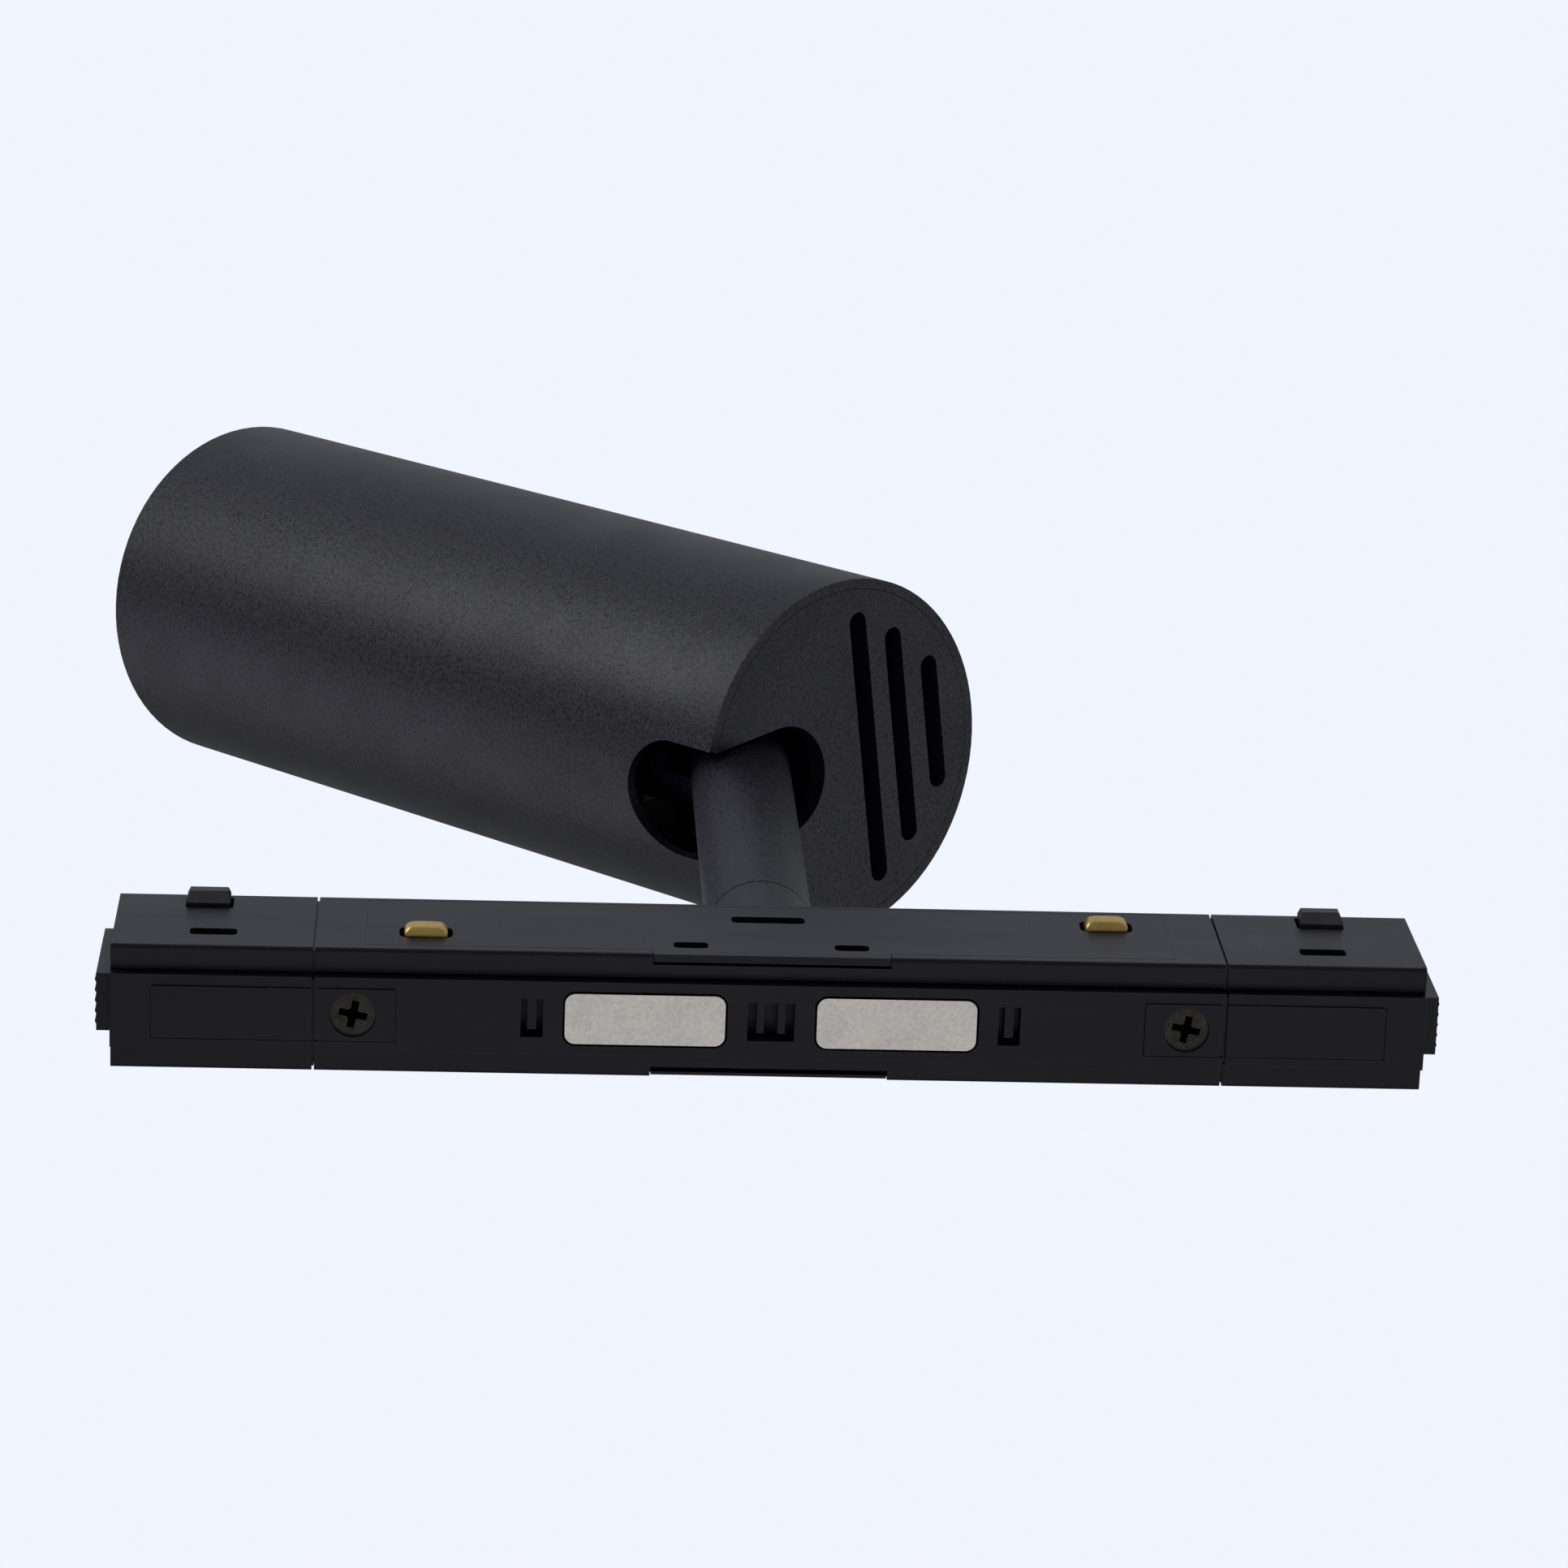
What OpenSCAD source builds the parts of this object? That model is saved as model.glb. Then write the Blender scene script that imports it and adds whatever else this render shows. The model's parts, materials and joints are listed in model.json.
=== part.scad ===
// Magnetic-track spotlight. +Z is up, out of the magnet face; the head hangs below on a pan and tilt stem.
// The origin is the middle of the magnet face. +Y is the side with the brass contacts.

/* [Adapter] */
// Overall length of the track adapter without its thumb sliders
adapter_l = 162; // [160:0.5:170]
// Width of the adapter
adapter_w = 16; // [16:0.1:17]
// Height of the adapter from its underside to the side strips
adapter_h = 20; // [20:0.1:22]
// Height of the magnet face above the side strips
face_rise = 1.6; // [1.2:0.1:2]
// Width of the raised magnet face
face_w = 9.5; // [9.3:0.1:10]
// Length of each end module
module_l = 24.65; // [24.5:0.05:27]

/* [Magnets and contacts] */
// Length of each magnet
magnet_l = 19.7; // [16:0.1:20.7]
// Width of each magnet
magnet_w = 6.5; // [6:0.1:6.9]
// Distance from the middle to the centre of each magnet
magnet_x = 15.5; // [15:0.1:16]
// How far the brass contacts stand out of the side
contact_out = 1.2; // [1.1:0.1:1.6]
// How far the latch teeth stand out of the side
tooth_out = 1.5; // [1.3:0.1:2]

/* [Stem] */
// Diameter of the stem and its collar
stem_d = 13.9; // [13.5:0.1:14.2]
// Length of the fixed collar under the adapter
collar_l = 12.5; // [10:0.5:16]
// Depth of the tilt axis below the magnet face
pivot_drop = 104.6; // [100:0.1:120]

/* [Head] */
// Diameter of the head tube
head_d = 51.2; // [50.8:0.1:54]
// Length of the head tube
head_l = 134.8; // [132:0.1:150]
// Wall thickness of the head tube
wall_t = 1.4; // [1.2:0.1:1.6]
// Distance from the tilt axis to the middle of the head
axis_offset = 11.3; // [11:0.1:12]
// Distance from the rear face to the tilt axis
axis_depth = 8.9; // [8.6:0.1:9.2]

/* [Pose] */
// Turn of the stem about its own axis
pan_angle = 3.85; // [-170:0.05:170]
// Tilt of the head away from straight down
tilt_angle = 40.4; // [0:0.1:90]
// Turn of the head about its threaded arm, set when it is assembled
head_roll = 4.3; // [-5:0.1:5]

/* [Hidden] */
$fn = 96;

half_w = adapter_w / 2;
strip_z = -face_rise;
base_z = strip_z - adapter_h;
module_gap = 0.3;
joint_step = 0.5;
end_x = adapter_l / 2;
joint_x = end_x - module_l;
core_x = joint_x - module_gap;
panel_rise = 0.3;
panel_w = 6.7;
groove_w = 0.2;
panel_x = 46.2;
panel_end_x = end_x - 5.1;
panel_groove_w = 0.2;
panel_groove_z = -0.35;

top_t = 1.8;
floor_t = 1.5;
cavity_x = 47;
cover_x = 50;
cover_t = 1.2;
cover_gap = 0.05;
cover_end_gap = 0.03;
ceiling_z = strip_z - top_t;
floor_z = base_z + floor_t;
cover_y = half_w - cover_t;
cover_low_z = floor_z - 0.3;

magnet_t = 3;
magnet_corner_r = 1.3;
magnet_fit = 0.3;
tray_t = 1.8;
tray_x = 46.6;
tray_y = 6.5;
tray_low_z = ceiling_z - tray_t;
window_x = 29.4;
window_l = 2.75;
middle_window_l = 5.8;
window_w = 5;
screw_x = 51.3;
screw_r = 1.5;
screw_head_r = 2.75;
screw_l = 8;
tab_l = 29.2;

contact_l = 5.6;
contact_h = 3.7;
contact_flange_l = 7.4;
left_contact = [-42.6, -8.3];
right_contact = [42.4, -15.4];
guide_l = 8.4;
guide_back_y = -1.2;
guide_floor_y = 0;
flange_y = 4.6;
flange_t = 1.9;

board_t = 1.6;
board_top_z = tray_low_z - 1;
board_low_z = board_top_z - board_t;
board_x = 36.8;
board_y = 6.1;

neck_r = 5.5;
spindle_r = 4;
spindle_bore_r = 2.6;
running_fit = 0.05;
collar_low_z = base_z - collar_l;
collar_nut_t = 2;
pan_gap = 0.3;
stem_r = stem_d / 2;
stem_top_z = collar_low_z - pan_gap;
stem_bore_r = 4.6;
knuckle_reach = 8.6;
knuckle_ring = 2;
stem_low_z = knuckle_reach + knuckle_ring - pivot_drop;
lap_gap = 0.15;
seat_y = 3.4;
pin_r = 2;

tongue_x = 53.6;
tongue_y = 3;
tongue_h = 10;
tongue_z = -12;
pin_x = 54.9;
pin_y = [-7.7, 6.2];

end_cavity_in = joint_x + 2.4;
end_cavity_out = end_x - 2;
end_cavity_y = 6.6;
end_ceiling_z = -4.2;
end_base_t = 1.25;
end_floor_z = base_z + end_base_t;
tooth_x = 69.8;
tooth_l = 5.4;
tooth_low_z = end_floor_z + 0.35;
tooth_h = 3.4;
latch_travel = 2;
latch_y = [-4.3, 5.9];
latch_x = [64.4, end_cavity_out - 0.6];
latch_h = 5.6;
latch_spring_x = 75.6;
latch_spring_z = -17.2;
pad_t = 1.8;
pad_gap = 0.15;
pad_y = [-3.3, 4.15];
pad_z = [-18.8, -1.9];
neck_y = [-1.1, 3];
neck_z = [-15, -7.2];
rib_count = 5;

head_r = head_d / 2;
bore_r = head_r - wall_t;
fit_gap = 0.1;
cap_t = 3;
cap_r = bore_r - fit_gap;
skirt_t = 1.3;
skirt_l = 5;
slot_w = 3.1;
slot_pitch = 6.35;
slot_lengths = [40.2, 32, 19.8];
notch_r = 7.95;
side_notch_r = 8.5;
side_notch_h = 8;

arm_thread_r = 5;
arm_bore_r = 2.6;
arm_body_l = 11.1;
arm_collar_h = [11.4, 14.3];
arm_washer_h = [14.3, 15.8];
sink_h = 28.7;
bulkhead_t = 6;
arm_nut_r = 8;
nut_seat_t = 0.5;
front_nut_l = 4.5;
arm_l = sink_h - axis_depth + bulkhead_t + front_nut_l + 1.5;
fin_l = 33.3;
plate_t = 4;
fin_count = 14;
fin_t = 1.5;
core_r = 8;
led_h = sink_h + bulkhead_t + fin_l + plate_t;
led_board_r = 13;
led_board_t = 1.6;
emitter_r = 5.5;
emitter_t = 0.8;
holder_r = 17;
holder_t = 5;
holder_bore_r = 7.5;
holder_screw_r = 15;
reflector_h = led_h + holder_t;
reflector_l = 24;
reflector_in_r = 8;
reflector_out_r = 21.4;
reflector_t = 0.9;
gasket_h = reflector_h + reflector_l;
gasket_t = 0.5;
glass_h = gasket_h + gasket_t;
glass_t = 2;
baffle_h = glass_h + glass_t;
ring_l = 4.8;
ring_h = head_l - ring_l - 0.2;
baffle_steps = 9;

black_coat = [0.09, 0.09, 0.1];
black_plastic = [0.15, 0.15, 0.17];
nickel = [0.72, 0.72, 0.7];
brass_colour = [0.8, 0.66, 0.3];
steel_colour = [0.5, 0.5, 0.5];

// ---------- shared shapes ----------

// A box between two corners
module box_between(low, high) {
    translate(low) cube(high - low);
}

// An upright block with round vertical corners
module round_block(size, corner_r) {
    x = size[0] / 2 - corner_r;
    y = size[1] / 2 - corner_r;
    linear_extrude(size[2]) {
        square([size[0], 2 * y], center = true);
        square([2 * x, size[1]], center = true);
        for (sx = [-1, 1], sy = [-1, 1])
            translate([sx * x, sy * y]) circle(corner_r, $fn = 32);
    }
}

// A slot with round ends, lying along X in the wall at +Y
module wall_slot(centre, length, height, corner_r) {
    translate([centre[0], half_w + 1, centre[1]])
        rotate([90, 0, 0])
            round_block([length, height, 4], corner_r);
}

// A hexagonal nut standing on z = 0 with flats facing Y
module hex_nut(corner_r, hole_r, thickness) {
    difference() {
        cylinder(r = corner_r, h = thickness, $fn = 6);
        translate([0, 0, -1]) cylinder(r = hole_r, h = thickness + 2);
    }
}

// A flat ring standing on z = 0
module ring(outer_r, inner_r, thickness) {
    difference() {
        cylinder(r = outer_r, h = thickness);
        translate([0, 0, -1]) cylinder(r = inner_r, h = thickness + 2);
    }
}

// A coil spring standing on z = 0
module coil_spring(radius, wire_r, length, turns) {
    translate([0, 0, wire_r])
        linear_extrude(length - 2 * wire_r, twist = -360 * turns, slices = 16 * turns, $fn = 8)
            translate([radius, 0])
                circle(wire_r, $fn = 8);
    for (z = [0, length - 2 * wire_r])
        translate([0, 0, z]) ring(radius + wire_r, radius - wire_r, 2 * wire_r, $fn = 32);
}

// A slot with fully round ends, standing on z = 0 and running along Y
module round_slot(width, length, height) {
    linear_extrude(height) {
        square([width, length - width], center = true);
        for (side = [-1, 1])
            translate([0, side * (length - width) / 2]) circle(width / 2, $fn = 48);
    }
}

// A wire through a list of points
module wire_run(points, wire_r) {
    for (i = [0 : len(points) - 2]) {
        step = points[i + 1] - points[i];
        turn = atan2(norm([step[0], step[1]]), step[2]);
        translate(points[i])
            rotate([0, turn, atan2(step[1], step[0])])
                cylinder(r = wire_r, h = norm(step), $fn = 24);
    }
    for (i = [1 : len(points) - 2])
        translate(points[i]) sphere(wire_r + 0.05, $fn = 24);
}

// Places a child in the frame of the panned stem, with the tilt axis at the origin
module at_stem() {
    translate([0, 0, -pivot_drop])
        rotate([0, 0, pan_angle])
            children();
}

// Places a child in the frame of the tilted arm, which runs down from the tilt axis
module at_arm() {
    at_stem()
        rotate([0, tilt_angle, 0])
            children();
}

// Places a child on the head's own axis, z = 0 at the rear face and the front towards -Z
module at_head() {
    at_arm()
        rotate([0, 0, head_roll])
            translate([axis_offset, 0, axis_depth])
                children();
}

// Places a child at a distance in front of the rear face, growing rearwards from there
module at_depth(depth) {
    at_head() translate([0, 0, -depth]) children();
}

// ---------- adapter ----------

module adapter_profile(low_x, high_x, low_z) {
    edge_r = 0.5;
    y = half_w - edge_r;
    rotate([90, 0, 90])
        translate([0, 0, low_x])
            linear_extrude(high_x - low_x) {
                translate([-half_w, low_z + edge_r]) square([adapter_w, strip_z - low_z - 2 * edge_r]);
                translate([-y, low_z]) square([2 * y, strip_z - low_z]);
                for (sy = [-1, 1], z = [low_z + edge_r, strip_z - edge_r])
                    translate([sy * y, z]) circle(edge_r, $fn = 24);
            }
}

// The fine line along the -Y edge of a raised panel and across the end of it that faces far_x
module panel_groove(near_x, far_x, panel_edge_x) {
    y = -panel_w / 2;
    box_between([min(near_x, far_x), y - panel_groove_w, panel_groove_z], [max(near_x, far_x), y, 1]);
    box_between([min(far_x, panel_edge_x), y, panel_groove_z], [max(far_x, panel_edge_x), panel_w / 2, 1]);
}

module housing() {
    slot_y = face_w / 2 + groove_w;
    color(black_plastic)
        difference() {
            adapter_profile(-core_x, core_x, base_z);
            box_between([-cavity_x, -half_w - 1, floor_z], [cavity_x, half_w + 1, ceiling_z]);
            box_between([-cavity_x, -slot_y, ceiling_z - 1], [cavity_x, slot_y, 1]);
            box_between([-core_x - 1, -slot_y, ceiling_z], [core_x + 1, slot_y, 1]);
            for (side = [-1, 1])
                mirror([0, side < 0 ? 1 : 0, 0]) {
                    box_between([-cover_x - cover_end_gap, cover_y - cover_gap, cover_low_z - fit_gap],
                                [cover_x + cover_end_gap, half_w + 1, ceiling_z + fit_gap]);
                    box_between([-tab_l / 2 - fit_gap, cover_y - 0.15, ceiling_z - 1],
                                [tab_l / 2 + fit_gap, half_w + 1, 1]);
                }
            for (side = [-1, 1]) {
                translate([side * screw_x, 0, ceiling_z - screw_l]) cylinder(r = screw_r, h = screw_l + 1);
                mirror([side < 0 ? 1 : 0, 0, 0]) {
                    box_between([tongue_x - fit_gap, -tongue_y - 0.05, tongue_z - tongue_h / 2 - 0.05],
                                [core_x + 1, tongue_y + 0.05, tongue_z + tongue_h / 2 + 0.05]);
                    translate([pin_x, -half_w - 1, tongue_z])
                        rotate([-90, 0, 0])
                            cylinder(r = 1, h = pin_y[1] + half_w + 1);
                }
            }
            translate([0, 0, base_z - 1]) cylinder(r = neck_r, h = floor_t + 2);
        }
}

module carrier() {
    color(black_plastic)
        difference() {
            union() {
                box_between([-core_x, -face_w / 2, ceiling_z], [core_x, face_w / 2, 0]);
                for (side = [-1, 1])
                    mirror([side < 0 ? 1 : 0, 0, 0])
                        box_between([panel_x, -panel_w / 2, -1], [core_x - 0.5, panel_w / 2, panel_rise]);
            }
            for (side = [-1, 1])
                mirror([side < 0 ? 1 : 0, 0, 0])
                    panel_groove(core_x + 1, panel_x - panel_groove_w, panel_x);
            for (side = [-1, 1]) {
                translate([side * magnet_x, 0, ceiling_z - 1])
                    round_block([magnet_l + 2 * magnet_fit, magnet_w + 2 * magnet_fit, 10],
                                magnet_corner_r + magnet_fit);
                translate([side * window_x - window_l / 2, -window_w / 2, ceiling_z - 1])
                    cube([window_l, window_w, 10]);
                translate([side * screw_x, 0, ceiling_z - 1]) cylinder(r = screw_r + 0.1, h = 10);
                translate([side * screw_x, 0, panel_rise - 1.75])
                    cylinder(r1 = screw_r, r2 = screw_head_r + 0.1, h = 1.3);
                translate([side * screw_x, 0, panel_rise - 0.45]) cylinder(r = screw_head_r + 0.1, h = 2);
            }
            translate([-middle_window_l / 2, -window_w / 2, ceiling_z - 1])
                cube([middle_window_l, window_w, 10]);
        }
}

module tray() {
    hook_top_z = -0.7;
    color(black_plastic)
        difference() {
            union() {
                box_between([-tray_x, -tray_y, tray_low_z], [tray_x, tray_y, ceiling_z]);
                for (side = [-1, 1]) {
                    box_between([side * window_x - 0.55, -1.7, tray_low_z],
                                [side * window_x + 0.55, 2.2, hook_top_z]);
                    box_between([side * 1.3 - 0.45, -1.7, tray_low_z], [side * 1.3 + 0.45, 2.2, hook_top_z]);
                    for (y = [-4.6, 4.6])
                        translate([side * 34, y, board_top_z]) cylinder(r = 1.3, h = 1.5, $fn = 32);
                }
            }
            for (side = [-1, 1])
                translate([side * 7.6 - 2, -tray_y - 1, tray_low_z - 1]) cube([4, 3, tray_t + 2]);
        }
}

module magnets() {
    color(nickel)
        for (side = [-1, 1])
            translate([side * magnet_x, 0, 0.1 - magnet_t])
                round_block([magnet_l, magnet_w, magnet_t], magnet_corner_r);
}

module keeper_plates() {
    color(steel_colour)
        for (side = [-1, 1])
            translate([side * magnet_x, 0, ceiling_z])
                round_block([magnet_l, magnet_w, 0.1 - magnet_t - ceiling_z], magnet_corner_r);
}

module carrier_screws() {
    head_top_z = panel_rise - 0.5;
    recess_l = 3.5;
    recess_w = 0.9;
    recess_turn = -12;
    color(steel_colour)
        for (side = [-1, 1])
            translate([side * screw_x, 0, 0])
                difference() {
                    union() {
                        translate([0, 0, head_top_z - screw_l]) cylinder(r = screw_r, h = screw_l - 1);
                        translate([0, 0, head_top_z - 1.25])
                            cylinder(r1 = screw_r, r2 = screw_head_r, h = 1.25);
                    }
                    for (turn = [recess_turn, recess_turn + 90])
                        rotate([0, 0, turn])
                            translate([-recess_l / 2, -recess_w / 2, head_top_z - 1])
                                cube([recess_l, recess_w, 2]);
                    translate([0, 0, head_top_z - 1]) cylinder(r = recess_w * 0.9, h = 2);
                }
}

// A snap-in side cover on the +Y side; its locating tab reaches up to tab_z and spans tab_y across the wall
module side_cover(tab_z, tab_y) {
    union() {
        difference() {
            box_between([-cover_x, cover_y, cover_low_z], [cover_x, half_w, ceiling_z]);
            wall_slot([0, -15.5], 9.2, 2.4, 0.7);
            for (side = [-1, 1])
                wall_slot([side * 9.95, -5.35], 4.3, 2.2, 0.7);
            children();
        }
        box_between([-tab_l / 2, tab_y[0], ceiling_z - 0.2], [tab_l / 2, tab_y[1], tab_z]);
    }
}

module side_cover_contacts() {
    color(black_plastic)
        side_cover(strip_z - 0.1, [half_w - 1, half_w])
            for (place = [left_contact, right_contact])
                wall_slot(place, contact_l + 1, contact_h + 0.7, 1.4);
}

module side_cover_plain() {
    color(black_plastic)
        mirror([0, 1, 0])
            side_cover(strip_z - 0.6, [half_w - 0.5, half_w - 0.1]);
}

// A sprung brass contact with a rounded nose, held behind the cover by its flange
module contact(place) {
    nose_y = half_w + contact_out;
    nose_r = 1.5;
    flat = contact_l / 2 - nose_r;
    color(brass_colour)
        translate([place[0], 0, place[1]]) {
            box_between([-contact_flange_l / 2, flange_y, -1.8],
                        [contact_flange_l / 2, flange_y + flange_t, 1.8]);
            translate([0, 0, -contact_h / 2])
                linear_extrude(contact_h) {
                    translate([-contact_l / 2, flange_y]) square([contact_l, nose_y - nose_r - flange_y]);
                    translate([-flat, flange_y]) square([2 * flat, nose_y - flange_y]);
                    for (side = [-1, 1])
                        translate([side * flat, nose_y - nose_r]) circle(nose_r, $fn = 32);
                }
        }
}

module contact_left() { contact(left_contact); }

module contact_right() { contact(right_contact); }

// The plastic guide behind a contact, from one height to another
module contact_guide(place, low_z, high_z) {
    color(black_plastic)
        difference() {
            box_between([place[0] - guide_l / 2, guide_back_y, low_z],
                        [place[0] + guide_l / 2, cover_y - 0.05, high_z]);
            box_between([place[0] - contact_flange_l / 2 - 0.1, guide_floor_y,
                         place[1] - contact_h / 2 - 0.1],
                        [place[0] + contact_flange_l / 2 + 0.1, half_w, place[1] + contact_h / 2 + 0.1]);
        }
}

module contact_guide_left() { contact_guide(left_contact, left_contact[1] - 2.6, tray_low_z); }

module contact_guide_right() { contact_guide(right_contact, floor_z, right_contact[1] + 2.6); }

module contact_spring(place) {
    color(steel_colour)
        translate([place[0], guide_floor_y, place[1]])
            rotate([-90, 0, 0])
                coil_spring(1.2, 0.2, flange_y - guide_floor_y, 5);
}

module contact_spring_left() { contact_spring(left_contact); }

module contact_spring_right() { contact_spring(right_contact); }

module circuit_board() {
    color([0.1, 0.3, 0.16])
        box_between([-board_x, -board_y, board_low_z], [board_x, board_y, board_top_z]);
}

module inductor() {
    color([0.2, 0.2, 0.2])
        translate([22, 0, board_low_z - 6.5]) {
            cylinder(r = 5, h = 6.5);
            for (z = [0, 5.3])
                translate([-5.3, -5.3, z]) cube([10.6, 10.6, 1.2]);
        }
}

module capacitor() {
    color([0.15, 0.18, 0.3])
        translate([-30, 0, board_low_z - 4])
            rotate([0, 90, 0]) {
                cylinder(r = 4, h = 13);
                translate([0, 0, 13]) cylinder(r = 3.4, h = 0.5);
            }
}

module driver_chip() {
    color([0.08, 0.08, 0.08])
        box_between([-13, -2.5, board_low_z - 1.6], [-8, 2.5, board_low_z]);
}

module terminal_block() {
    color([0.2, 0.4, 0.25])
        difference() {
            box_between([30.5, -5, board_low_z - 6], [36.5, 5, board_low_z]);
            for (y = [-2.5, 2.5])
                translate([29.5, y, board_low_z - 3.4])
                    rotate([0, 90, 0])
                        cylinder(r = 1.1, h = 4);
        }
}

module adapter_lead() {
    color([0.5, 0.06, 0.05])
        for (y = [-1, 1])
            wire_run([[32, 2.5 * y, board_low_z - 3.4], [28.6, 2.5 * y, board_low_z - 3.4],
                      [28.6, 2.5 * y, -17.6], [14, 2.5 * y, -17.6], [9, 2 * y, -13.4], [2, y, -13.4],
                      [0, y, -15], [0, y, -24]], 0.6);
}

module stem_collar() {
    color(black_coat)
        difference() {
            union() {
                translate([0, 0, collar_low_z]) cylinder(r = stem_r, h = collar_l);
                translate([0, 0, base_z - 1]) cylinder(r = neck_r, h = floor_t + collar_nut_t + 1);
            }
            translate([0, 0, collar_low_z - 1]) cylinder(r = spindle_r + running_fit, h = collar_l + 10);
        }
}

module collar_nut() {
    color(steel_colour)
        translate([0, 0, floor_z]) hex_nut(7.2, neck_r, collar_nut_t - 0.2);
}

module pan_washer() {
    color(steel_colour)
        translate([0, 0, floor_z + collar_nut_t + 0.05]) ring(5.4, spindle_r + running_fit, 0.5);
}

module tie_pins() {
    color(steel_colour)
        for (side = [-1, 1])
            translate([side * pin_x, pin_y[0], tongue_z])
                rotate([-90, 0, 0])
                    cylinder(r = 1, h = pin_y[1] - pin_y[0]);
}

// ---------- end modules, drawn for the +X end and mirrored for the other ----------

module on_side(side) {
    mirror([side < 0 ? 1 : 0, 0, 0]) children();
}

// The shallow step that fills the joint behind its edges, so that no light shows through
module joint_spigot() {
    spigot_x = core_x + 0.05;
    box_between([spigot_x, -half_w + joint_step, base_z + joint_step],
                [joint_x + 1, half_w - joint_step, strip_z - joint_step]);
    box_between([spigot_x, -face_w / 2 + joint_step, strip_z - 1],
                [joint_x + 1, face_w / 2 - joint_step, -joint_step]);
}

module end_housing() {
    wall_in = end_cavity_in - joint_x;
    color(black_plastic)
        difference() {
            union() {
                adapter_profile(joint_x, end_x, base_z);
                box_between([joint_x, -face_w / 2, strip_z - 1], [end_x, face_w / 2, 0]);
                box_between([joint_x, -panel_w / 2, -1], [panel_end_x, panel_w / 2, panel_rise]);
                joint_spigot();
                box_between([tongue_x, -tongue_y, tongue_z - tongue_h / 2],
                            [joint_x + 1, tongue_y, tongue_z + tongue_h / 2]);
            }
            for (side = [-1, 1])
                translate([joint_x - 1, side * (face_w + groove_w) / 2 - groove_w / 2, strip_z - 0.4])
                    cube([module_l + 2, groove_w, 0.7]);
            panel_groove(joint_x - 1, panel_end_x + panel_groove_w, panel_end_x);
            box_between([end_cavity_in, -end_cavity_y, base_z - 1],
                        [end_cavity_out, end_cavity_y, end_ceiling_z]);
            box_between([joint_x + wall_in / 2, -end_cavity_y - 0.5, base_z - 1],
                        [end_x - 1, end_cavity_y + 0.5, end_floor_z]);
            wall_slot([tooth_x - 0.12, tooth_low_z + tooth_h / 2], tooth_l + 0.54, tooth_h + 0.6, 0.25);
            wall_slot([68.7, -7.15], 5.8, 2.4, 0.6);
            box_between([end_cavity_out - 1, neck_y[0] - latch_travel - 0.2, neck_z[0] - 0.2],
                        [end_x + 1, neck_y[1] + 0.2, neck_z[1] + 0.2]);
            translate([pin_x, -half_w, tongue_z]) rotate([-90, 0, 0]) cylinder(r = 1, h = adapter_w);
        }
}

module end_base() {
    wall_in = end_cavity_in - joint_x;
    color(black_plastic)
        box_between([joint_x + wall_in / 2 + fit_gap, -end_cavity_y - 0.4, base_z],
                    [end_x - 1 - fit_gap, end_cavity_y + 0.4, end_floor_z]);
}

// The thumb slider with its ribbed pad outside the end face and its carriage inside
module latch_slider() {
    pad_x = end_x + pad_gap;
    pad_mid_y = (pad_y[0] + pad_y[1]) / 2;
    low_z = end_floor_z + 0.15;
    color(black_plastic)
        difference() {
            union() {
                box_between([pad_x, pad_y[0], pad_z[0]], [pad_x + pad_t - 0.2, pad_y[1], pad_z[1]]);
                for (i = [0 : rib_count - 1])
                    translate([pad_x + pad_t - 0.45, pad_mid_y + (i - (rib_count - 1) / 2) * 1.35,
                               pad_z[0] + 0.6])
                        cylinder(r = 0.45, h = pad_z[1] - pad_z[0] - 1.2, $fn = 24);
                box_between([latch_x[1] - 1, neck_y[0], neck_z[0]], [pad_x + 0.5, neck_y[1], neck_z[1]]);
                box_between([latch_x[1] - 3, latch_y[0], low_z], [latch_x[1], latch_y[1], neck_z[1]]);
                box_between([latch_x[0], latch_y[0], low_z], [latch_x[1], latch_y[1], low_z + latch_h]);
            }
            box_between([tooth_x - tooth_l / 2, 1, tooth_low_z],
                        [tooth_x + tooth_l / 2, half_w, tooth_low_z + tooth_h]);
            translate([latch_spring_x, latch_y[0] - 1, latch_spring_z])
                rotate([-90, 0, 0])
                    cylinder(r = 1.9, h = 8.8);
        }
}

// The steel tooth: a shank in the slider and a wedge that stands out of the side
module latch_tooth() {
    tip_y = half_w + tooth_out;
    color([0.3, 0.29, 0.28])
        translate([tooth_x, 0, 0])
            intersection() {
                translate([-tooth_l / 2, 0, 0])
                    rotate([90, 0, 90])
                        linear_extrude(tooth_l)
                            polygon([[1, tooth_low_z], [tip_y, tooth_low_z], [tip_y, tooth_low_z + 1.6],
                                     [half_w + 0.5, tooth_low_z + tooth_h], [1, tooth_low_z + tooth_h]]);
                translate([0, 0, tooth_low_z])
                    linear_extrude(tooth_h)
                        polygon([[-tooth_l / 2, 0], [tooth_l / 2, 0], [tooth_l / 2, tip_y - 0.7],
                                 [tooth_l / 2 - 0.4, tip_y + 0.1], [0.4 - tooth_l / 2, tip_y + 0.1],
                                 [-tooth_l / 2, tip_y - 0.7]]);
            }
}

module latch_spring() {
    color(steel_colour)
        translate([latch_spring_x, -end_cavity_y, latch_spring_z])
            rotate([-90, 0, 0])
                coil_spring(1.4, 0.22, end_cavity_y + latch_y[0] + 7.8, 8);
}

module end_housing_left() { on_side(-1) end_housing(); }

module end_housing_right() { on_side(1) end_housing(); }

module end_base_left() { on_side(-1) end_base(); }

module end_base_right() { on_side(1) end_base(); }

module latch_slider_left() { on_side(-1) latch_slider(); }

module latch_slider_right() { on_side(1) latch_slider(); }

module latch_tooth_left() { on_side(-1) latch_tooth(); }

module latch_tooth_right() { on_side(1) latch_tooth(); }

module latch_spring_left() { on_side(-1) latch_spring(); }

module latch_spring_right() { on_side(1) latch_spring(); }

// ---------- stem ----------

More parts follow.
